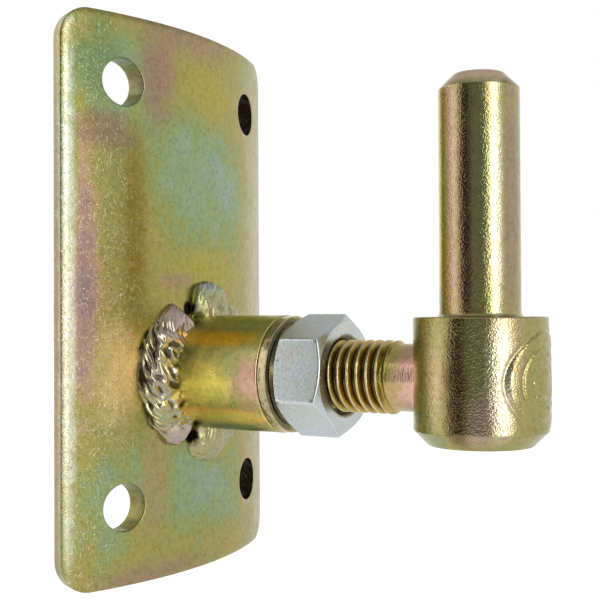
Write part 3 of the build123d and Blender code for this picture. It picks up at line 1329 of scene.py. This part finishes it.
@dataclass
class HexNut:
    """The hexagon nut, chamfered at both ends, with a round washer face at its back."""

    across_flats: float = 24.0
    corner_angle: float = 22.7
    chamfer_angle: float = 30.0
    chamfer_radius: float = 11.8
    face_height: float = 1.1
    bore: float = 8.06
    mouth_radius: float = 8.9
    mouth_depth: float = 0.9
    ring_radius: float = 10.4
    sharpness: float = 110.0
    wear_and_shine_reach: float = 0.22
    chamfer_steps: int = 18
    steps_around: int = 840

    def hexagon(self, angle: np.ndarray) -> np.ndarray:
        """Gives the radius of the softened hexagon at an angle."""
        middles = np.radians(self.corner_angle + 30 + 60 * np.arange(6))
        lean = np.maximum(np.cos(angle[:, None] - middles), 0) ** self.sharpness
        return self.across_flats / 2 * lean.sum(1) ** (-1 / self.sharpness)

    def mesh(self, back: float, front: float) -> bpy.types.Mesh:
        """Builds the nut with its marks for worn edges with painted highlight and for painted reflection.

        Args:
            back: Where it begins along the stud.
            front: Where it ends.

        Returns:
            A closed mesh with two marks for its finish.
        """
        angle = np.linspace(0, FULL_TURN, self.steps_around, endpoint=False)
        hexagon = self.hexagon(angle)
        slope = math.tan(math.radians(self.chamfer_angle))
        shoulder = back + self.face_height
        depth = (self.across_flats / math.sqrt(3) - self.chamfer_radius) * slope
        length = front - shoulder
        sides = shoulder + np.concatenate([
            np.linspace(0.02, depth, self.chamfer_steps), np.linspace(depth, length - depth, 12)[1:-1],
            np.linspace(length - depth, length - 0.02, self.chamfer_steps)])
        rings: list[np.ndarray] = []
        worn: list[np.ndarray] = []
        mouth: list[np.ndarray] = []

        def add_ring(place: float, radius: Any, wear_and_shine: Any = 0.0, reflection: float = 0.0) -> None:
            """Adds a ring with its wear and painted highlight and its painted reflection."""
            level = np.ones_like(angle)
            rings.append(np.stack([place * level, radius * np.cos(angle), radius * np.sin(angle)], -1))
            worn.append(wear_and_shine * level)
            mouth.append(reflection * level)

        # The bore: painted reflection of the thread.
        for place in np.linspace(front - self.mouth_depth, back + self.mouth_depth, 8):
            add_ring(float(place), self.bore, reflection=1.0)
        # The back and its collar: painted reflection of the yellow washer.
        for place, radius in ((back + 0.05, self.mouth_radius), (back, self.mouth_radius + 0.06),
                              (back, self.chamfer_radius - 0.1), (back + 0.1, self.chamfer_radius),
                              (shoulder, self.chamfer_radius)):
            add_ring(place, radius, wear_and_shine=0.3, reflection=0.5)
        # Pale corners and chamfer edges: wear with painted highlight.
        bend = np.roll(hexagon, 6) + np.roll(hexagon, -6) - 2 * hexagon
        corner = np.clip(-1.6 * bend / np.abs(bend).max(), 0, 1)
        for place in sides.tolist():
            cone = self.chamfer_radius + min(place - shoulder, front - place) / slope
            both = (hexagon**-self.sharpness + cone**-self.sharpness) ** (-1 / self.sharpness)
            ridge = 1 - np.abs(hexagon - cone) / self.wear_and_shine_reach
            add_ring(place, both, wear_and_shine=np.clip(np.maximum(ridge, corner * (cone > hexagon)), 0, 1))
        add_ring(front, self.chamfer_radius, wear_and_shine=0.6)
        # The front face: a brown painted reflection of the thread round the bore.
        for radius, reflection in ((self.chamfer_radius - 0.2, 0.0), (11.0, 0.0), (self.ring_radius + 0.15, 0.0),
                            (self.ring_radius - 0.15, 0.05), (9.6, 0.2), (self.mouth_radius + 0.12, 0.85)):
            add_ring(front, radius, reflection=reflection)
        add_ring(front - 0.06, self.mouth_radius, reflection=1.0)
        marks = {Mark.WORN_AND_HIGHLIT: np.array(worn), Mark.REFLECTION: np.array(mouth)}
        return mesh_from_rings("chamfered_nut", np.array(rings), closed=True, marks=marks)


class LockSet:
    """The lock washer and the nut that clamps it."""

    def __init__(self) -> None:
        """Names the finishes and the shapes."""
        # The washer's front face gets painted shade.
        self.washer_finish = YellowZinc(
            "washer_yellow_zinc", film=0.6, patch=(6.0, 6.0, 6.0), roughness=0.16, dark_mark=Mark.FACE_SHADE,
            darkness=0.35, saturation=0.75, brightness=1.3, seed=11.0)
        self.nut_finish = ClearZinc("nut_clear_zinc")
        self.washer = SpringWasher()
        self.nut = HexNut()

    def build(self) -> None:
        """Builds both."""
        low, _ = node_box("lock_washer")
        mesh = self.washer.mesh(float(low[0]))
        washer = piece_from_mesh("split_washer", mesh, self.washer_finish.material())
        place_piece(washer, "lock_washer", Body.WASHER)
        low, high = node_box("lock_nut")
        mesh = self.nut.mesh(float(low[0]), float(high[0]))
        nut = piece_from_mesh("chamfered_nut", mesh, self.nut_finish.material())
        place_piece(nut, "lock_nut", Body.NUT)


@dataclass
class StudThread:
    """The stud: a right-hand thread that runs out into a plain shank."""

    pitch: float = 2.3
    end: float = 57.8
    major: float = 8.0
    root: float = 6.65
    shank: float = 7.25
    tip: float = 6.4
    lead_in: float = 1.6
    run_out: float = 2.2
    shoulder: float = 0.7
    crest_share: float = 0.16
    root_share: float = 0.2
    same_place: float = 0.002
    around: int = 128
    across: int = 16

    def form(self, start: float, material: bpy.types.Material) -> Form:
        """Builds the geometry tree of the threaded length.

        Args:
            start: Where the stud begins, along its axis.
            material: The stud's finish.

        Returns:
            The tree, ready to run.
        """
        turns = math.ceil((self.end - start) / self.pitch) + 1
        form = Form("stud_thread", {
            "Pitch": self.pitch * MM, "Start": start * MM, "End": self.end * MM,
            "Major Radius": self.major * MM, "Root Radius": self.root * MM,
            "Shank Radius": self.shank * MM, "Tip Radius": self.tip * MM,
            "Lead In": self.lead_in * MM, "Run Out": self.run_out * MM, "Shoulder": self.shoulder * MM,
            "Crest Share": self.crest_share, "Root Share": self.root_share, "Turns": float(turns),
            "Points Along": turns * self.around + 1, "Points Across": self.across + 1, "Finish": material,
        })
        size = form.given
        points = {"Vertices X": size["Points Along"], "Vertices Y": size["Points Across"]}
        grid = form.node("GeometryNodeMeshGrid", {"Size X": 1.0, "Size Y": 1.0, **points})
        flat = form.split(form.node("GeometryNodeInputPosition").outputs[0])
        turn = form.math("MULTIPLY", form.math("ADD", flat[0], 0.5), size["Turns"])
        ridge = form.math("ADD", flat[1], 0.5)
        travel = form.math("SUBTRACT", form.math("ADD", turn, ridge), 1.0)
        reach = form.math("MULTIPLY_ADD", travel, size["Pitch"], size["Start"])
        along = form.math("MINIMUM", form.math("MAXIMUM", reach, size["Start"]), size["End"])
        from_ridge = form.math("ABSOLUTE", form.math("MULTIPLY_ADD", ridge, 2.0, -1.0))
        to_ridge = form.math("SUBTRACT", 1.0, from_ridge)
        height = form.spread(to_ridge, size["Root Share"], form.math("SUBTRACT", 1.0, size["Crest Share"]),
                             steps="LINEAR")
        left = form.math("SUBTRACT", size["End"], along)
        done = form.math("SUBTRACT", along, size["Start"])
        root = form.spread(left, 0.0, size["Run Out"], size["Shank Radius"], size["Root Radius"])
        crest = form.spread(left, 0.0, size["Shoulder"], size["Shank Radius"], size["Major Radius"])
        root = form.math("MINIMUM", root,
                         form.spread(done, 0.0, size["Lead In"], size["Tip Radius"], size["Shank Radius"]))
        crest = form.math("MINIMUM", crest,
                          form.spread(done, 0.0, size["Lead In"], size["Tip Radius"], size["Major Radius"]))
        radius = form.math("MULTIPLY_ADD", height, form.math("SUBTRACT", crest, root), root)
        angle = form.math("MULTIPLY", turn, FULL_TURN)
        place = form.join(along, form.math("MULTIPLY", radius, form.math("COSINE", angle)),
                          form.math("MULTIPLY", radius, form.math("SINE", angle)))
        threaded = form.spread(left, 0.0, size["Run Out"])
        # Painted shade in the thread's grooves.
        low = form.math("MULTIPLY", form.math("SUBTRACT", 1.0, height), threaded)
        # Pale crests: wear with painted highlight.
        high = form.math("MULTIPLY", height, threaded)
        told = form.tell(form.tell(grid.outputs[0], Mark.ROOT, low), Mark.WORN_AND_HIGHLIT, high)
        shaped = form.node("GeometryNodeSetPosition", {"Geometry": told, "Position": place}).outputs[0]
        merging = {"Geometry": shaped, "Distance": self.same_place * MM}
        merged = form.node("GeometryNodeMergeByDistance", merging).outputs[0]
        form.close(merged, size["Finish"])
        return form

    def mesh(self, start: float, shank_end: float, material: bpy.types.Material) -> bpy.types.Mesh:
        """Builds the whole stud.

        Args:
            start: Where the stud begins.
            shank_end: Where its shank ends inside the head.
            material: Its finish.

        Returns:
            A closed mesh.
        """
        mesh = self.form(start, material).plain_mesh("stud_thread")
        shape = bmesh.new()
        shape.from_mesh(mesh)
        rim = [edge for edge in shape.edges if edge.is_boundary and edge.verts[0].co.x > (self.end - 1) * MM]
        for place in (self.end + 0.3, self.end + 1.5, self.end + 3.0, shank_end - 0.5, shank_end):
            grown = bmesh.ops.extrude_edge_only(shape, edges=rim)["geom"]
            for vertex in (item for item in grown if isinstance(item, bmesh.types.BMVert)):
                vertex.co.x = place * MM
            rim = [item for item in grown if isinstance(item, bmesh.types.BMEdge)]
        shape.to_mesh(mesh)
        shape.free()
        tidy_mesh(mesh)
        return mesh


@dataclass
class HingeHead:
    """The head and the hinge pin, turned in one piece, with a round pad opposite the stud."""

    head_bottom: float = -13.4
    head_top: float = 13.0
    head_radius: float = 13.85
    head_chamfer: float = 3.1
    pin_radius: float = 8.35
    pin_top: float = 63.0
    pin_chamfer: float = 3.1
    pad_radius: float = 10.3
    pad_crown: float = 0.46
    pad_edge: float = 0.28
    pad_soft: float = 0.8
    ring_radii: tuple[float, float] = (7.6, 3.0)
    ring_width: float = 0.55
    ring_depth: float = 0.3
    dimples: int = 12
    dimple_radius: float = 5.3
    moat_depth: float = 0.2
    around: int = 400

    def section(self) -> np.ndarray:
        """Draws half the section, from the bottom up."""
        return soft_section((
            Corner(self.head_bottom, 0.0),
            Corner(self.head_bottom, self.head_radius - self.head_chamfer, 0.5, step=2.0),
            Corner(self.head_bottom + self.head_chamfer, self.head_radius, 0.6),
            Corner(self.head_top, self.head_radius, 0.45, step=0.28),
            Corner(self.head_top, self.pin_radius, 0.9),
            Corner(self.pin_top - self.pin_chamfer, self.pin_radius, 0.7, step=0.9),
            Corner(self.pin_top, self.pin_radius - self.pin_chamfer, 0.6),
            Corner(self.pin_top, 0.0, step=2.0),
        ))

    def raise_pad(self, rings: np.ndarray, centre: float) -> np.ndarray:
        """Lifts the round pad out of the head's side, with two plain rings and a ring of dimples in it.

        Args:
            rings: The turned points.
            centre: Where the pin's axis stands along the stud.

        Returns:
            The points with the pad.
        """
        side = rings - np.array([centre, 0.0, 0.0])
        away = np.hypot(side[..., 1], side[..., 2])
        outward = np.stack([side[..., 0], side[..., 1], np.zeros_like(away)], -1) / self.head_radius
        step = eased((self.pad_radius - away) / self.pad_soft)
        crown = (self.pad_crown - self.pad_edge) * (1 - np.clip(away / self.pad_radius, 0, 1) ** 2)
        rings_cut = [eased(1 - np.abs(away - radius) / self.ring_width) for radius in self.ring_radii]
        round_it = np.arctan2(side[..., 2], side[..., 1])
        beads = eased((np.cos(self.dimples * round_it) - 0.2) / 0.8)
        dimpled = beads * eased(1 - np.abs(away - self.dimple_radius) / self.ring_width)
        groove = self.ring_depth * np.maximum(np.maximum(rings_cut[0], rings_cut[1]), dimpled)
        moat = self.moat_depth * eased(1 - np.abs(away - self.pad_radius - 0.2) / 0.5)
        on_side = (side[..., 0] > 0) & (np.hypot(side[..., 0], side[..., 1]) > self.head_radius - 0.01)
        dents = 0.05 * rumpled(rings, 2.6) * step
        lift = np.where(on_side, step * (self.pad_edge + crown - groove) - moat + dents, 0.0)
        return rings + outward * lift[..., None]

    def mesh(self, centre: float) -> bpy.types.Mesh:
        """Builds the piece as a closed mesh about its axis."""
        rings = turned_rings(self.section(), self.around, centre)
        return mesh_from_rings("head_and_pin", self.raise_pad(rings, centre))


class Pintle:
    """The stud and the hinge pin that it carries."""

    def __init__(self) -> None:
        """Names the finishes and the shapes."""
        pink_shank = (Spot((66.0, 0.0, 0.0), (10.0, 30.0, 30.0), 0.36),)
        stud_tints_and_sheen = (
            Tint((50.0, 0.0, 0.0), (10.0, 30.0, 30.0), screen_colour(176, 142, 62), 0.75),
            # Painted reflection: a pale pink patch on the shank's near side.
            Tint((66.0, -7.0, 0.0), (9.0, 6.0, 8.0), screen_colour(232, 184, 164), 0.9),
        )
        self.stud_finish = YellowZinc(
            "stud_yellow_zinc", film=0.52, drift=0.16, patch=(12.0, 9.0, 9.0), film_spots=pink_shank,
            tints=stud_tints_and_sheen, dark_mark=Mark.ROOT, darkness=0.72, pale_mark=Mark.WORN_AND_HIGHLIT, paleness=0.35,
            grain=(0.25, 3.0, 3.0), grain_depth=0.06, scratched=0.0, brightness=1.25,
            roughness=0.22, seed=3.0)
        # Painted reflections on the head and pin: upright bands of highlight, dark and tint at set places
        # round them, and a highlight on the pin's top.
        pin_painted_reflections = (
            Tint((82.2, -6.0, 38.0), (1.7, 2.6, 46.0), screen_colour(222, 216, 178), 0.85),
            Tint((79.0, -6.0, 62.0), (9.0, 9.0, 2.6), screen_colour(236, 202, 168), 0.9),
            Tint((69.3, -5.0, 38.0), (1.8, 3.0, 42.0), screen_colour(240, 214, 26)),
            Tint((73.0, -7.8, 38.0), (2.6, 3.0, 44.0), screen_colour(206, 166, 140), 0.8),
            Tint((76.2, -8.4, 34.0), (2.2, 3.0, 38.0), screen_colour(140, 100, 76), 0.8),
            Tint((79.4, -7.7, 40.0), (2.2, 3.0, 34.0), screen_colour(150, 168, 104), 0.7),
            Tint((84.2, -2.6, 38.0), (2.6, 4.0, 44.0), screen_colour(162, 136, 112), 0.8),
            Tint((84.5, -11.0, 0.0), (3.6, 4.0, 20.0), screen_colour(226, 212, 182), 0.75),
            Tint((64.4, -7.4, 0.0), (3.4, 4.0, 20.0), screen_colour(188, 160, 70), 0.9),
            Tint((70.6, -12.6, 0.0), (3.6, 4.0, 13.0), screen_colour(206, 180, 132), 0.7),
            Tint((76.6, -13.8, -2.0), (3.6, 4.0, 20.0), screen_colour(116, 84, 54), 0.85),
            Tint((81.0, -13.0, -8.0), (3.4, 4.0, 9.0), screen_colour(190, 152, 140), 0.7),
        )
        self.pin_finish = YellowZinc(
            "pin_yellow_zinc", film=0.52, drift=0.34, patch=(6.0, 6.0, 26.0), tints=pin_painted_reflections,
            grain=(0.42, 0.42, 0.5), grain_depth=0.06, facet_size=0.42, facet_depth=0.038,
            saturation=0.9, roughness=0.06, seed=17.0)
        self.thread = StudThread()
        self.head = HingeHead()

    def build(self) -> None:
        """Builds the threaded stud and the turned head."""
        low, high = node_box("threaded_stud")
        finish = self.stud_finish.material()
        mesh = self.thread.mesh(float(low[0]), float(high[0]), finish)
        stud = piece_from_mesh("threaded_stud_rolled", mesh, finish)
        place_piece(stud, "threaded_stud", Body.STUD)
        low, _ = node_box("hinge_pin")
        centre = float(low[0]) + self.head.head_radius
        head = piece_from_mesh("head_and_pin", self.head.mesh(centre), self.pin_finish.material())
        place_piece(head, "hinge_pin", Body.PINTLE)


def dress(node: str, material: bpy.types.Material) -> None:
    """Gives a solid its finish.

    Args:
        node: The solid's name in the frame.
        material: The finish.
    """
    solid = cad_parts[node]
    solid.data.materials.clear()
    solid.data.materials.append(material)
    log.info("dressed %s with %s", node, material.name)


def place_piece(piece: Piece, node: str, body: Body) -> None:
    """Puts a finer piece in a solid's place.

    Args:
        piece: The finer piece.
        node: The solid that it stands for.
        body: The body that it moves with.
    """
    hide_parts(node)
    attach(piece, body.value)
    log.info("%s stands for %s, %d faces", piece.name, node, len(piece.data.polygons))


@dataclass(frozen=True)
class Card:
    """An upright card round the object that only reflections see."""

    name: str
    start: float
    end: float
    bottom: float
    top: float
    level: float


class Studio:
    """The floor, the light and the camera."""

    floor_drop = 150.0
    floor_size = 12000.0
    card_distance = 900.0
    cards = (
        Card("left_card", -112.0, -28.0, -500.0, 800.0, 1.25),
        Card("dark_card", -28.0, -4.0, -500.0, 700.0, 0.03),
        Card("camera_side_card", -4.0, 51.0, -500.0, 700.0, 0.26),
    )

    def glow(self, name: str, level: float) -> bpy.types.Material:
        """Makes a plain glowing material of one grey level.

        Args:
            name: The material's name.
            level: How brightly it glows.

        Returns:
            The material.
        """
        material = bpy.data.materials.new(name)
        tree = bare_tree(material)
        light = tree.node("ShaderNodeEmission", {"Color": WHITE, "Strength": level})
        tree.node("ShaderNodeOutputMaterial", {"Surface": light.outputs[0]})
        return material

    def add_card(self, card: Card) -> None:
        """Stands one card round the object."""
        angles = np.radians(np.linspace(card.start, card.end, 9))
        rim = np.stack([np.sin(angles), -np.cos(angles)], -1) * self.card_distance
        low = [(x * MM, y * MM, card.bottom * MM) for x, y in rim]
        high = [(x * MM, y * MM, card.top * MM) for x, y in rim]
        count = len(low)
        faces = [(k, k + 1, count + k + 1, count + k) for k in range(count - 1)]
        mesh = bpy.data.meshes.new(card.name)
        mesh.from_pydata(low + high, [], faces)
        mesh.materials.append(self.glow(card.name, card.level))
        made = add_object(card.name, mesh)
        made.visible_camera = False
        made.visible_diffuse = False
        made.visible_shadow = False
        made.visible_transmission = False

    def add_floor(self) -> None:
        """Lays a pale floor well under the object, which hangs on its post."""
        half = self.floor_size * MM / 2
        height = cad_box[0].z - self.floor_drop * MM
        mesh = bpy.data.meshes.new("floor")
        corners = [(x, y, height) for x, y in ((-half, -half), (half, -half), (half, half), (-half, half))]
        mesh.from_pydata(corners, [], [(0, 1, 2, 3)])
        material = bpy.data.materials.new("floor_white")
        tree = bare_tree(material)
        paper = tree.node("ShaderNodeBsdfDiffuse", {"Color": (0.9, 0.9, 0.9, 1.0)})
        path = tree.node("ShaderNodeLightPath").outputs
        strength = tree.spread(path["Is Camera Ray"], 0.0, 1.0, 1.05, 1.4, "LINEAR")
        bright = tree.node("ShaderNodeEmission", {"Color": WHITE, "Strength": strength})
        mirrored = tree.math("MAXIMUM", path["Is Glossy Ray"], path["Is Transmission Ray"])
        share = tree.math("MULTIPLY", tree.math("MAXIMUM", path["Is Camera Ray"], mirrored), 0.6)
        mixed = tree.node("ShaderNodeMixShader", {0: share, 1: paper.outputs[0], 2: bright.outputs[0]})
        tree.node("ShaderNodeOutputMaterial", {"Surface": mixed.outputs[0]})
        mesh.materials.append(material)
        floor = add_object("floor", mesh)

    def add_sky(self) -> None:
        """Surrounds the scene with soft white, dimmer overhead where it is only reflected."""
        world = bpy.data.worlds.new("soft_white")
        bpy.context.scene.world = world
        tree = bare_tree(world)
        path = tree.node("ShaderNodeLightPath").outputs
        towards = tree.split(tree.node("ShaderNodeTexCoord").outputs["Generated"])
        mirrored = tree.spread(towards[2], 0.25, 0.75, 0.95, 0.5)
        hidden = tree.spread(path["Is Glossy Ray"], 0.0, 1.0, 0.7, mirrored, "LINEAR")
        seen = tree.math("MAXIMUM", path["Is Camera Ray"], path["Is Transmission Ray"])
        strength = tree.spread(seen, 0.0, 1.0, hidden, 1.0, "LINEAR")
        sky = tree.node("ShaderNodeBackground", {"Color": WHITE, "Strength": strength})
        tree.node("ShaderNodeOutputWorld", {"Surface": sky.outputs[0]})

    def add_lamp(self, name: str, direction: float, height: float, distance: float, size: tuple[float, float],
                 power: float) -> None:
        """Hangs a soft lamp that faces the object.

        Args:
            name: The lamp's name.
            direction: Its direction round the object.
            height: Its angle above the object.
            distance: How far away it hangs.
            size: Its width and height.
            power: Its power in watts.
        """
        data = bpy.data.lights.new(name, "AREA")
        data.shape = "RECTANGLE"
        data.size, data.size_y = size[0] * MM, size[1] * MM
        data.energy = power
        lamp = add_object(name, data)
        round_it, up = math.radians(direction), math.radians(height)
        away = Vector((math.sin(round_it) * math.cos(up), -math.cos(round_it) * math.cos(up), math.sin(up)))
        lamp.location = away * distance * MM
        lamp.rotation_euler = (-away).to_track_quat("-Z", "Y").to_euler()

    def add_camera(self) -> None:
        """Puts the camera where the photograph was taken from."""
        data = bpy.data.cameras.new("camera")
        data.lens, data.sensor_width = 64.7, 36.0
        data.shift_y = -0.0038
        camera = add_object("camera", data)
        place = Vector((160.56, -208.85, 14.11)) * MM
        target = Vector((32.566, 0.0, 17.369)) * MM
        aim = (target - place).to_track_quat("-Z", "Y").to_matrix()
        roll = Matrix.Rotation(math.radians(-0.281), 3, "Z")
        camera.matrix_world = Matrix.Translation(place) @ (aim @ roll).to_4x4()
        data.clip_start, data.clip_end = 0.01, 30.0
        bpy.context.scene.camera = camera

    def build(self) -> None:
        """Builds the whole studio."""
        self.add_floor()
        self.add_sky()
        for card in self.cards:
            self.add_card(card)
        self.add_lamp("key_lamp", 62.0, 4.0, 1100.0, (380.0, 1300.0), 4.5)
        self.add_camera()
        bpy.context.scene.view_settings.view_transform = "Standard"


def main() -> None:
    """Builds each part of the object, then the studio round it."""
    logging.basicConfig(level=logging.INFO, format="%(name)s: %(message)s")
    for part in (PostMount(), LockSet(), Pintle(), Studio()):
        part.build()


if __name__ == "__main__":
    main()
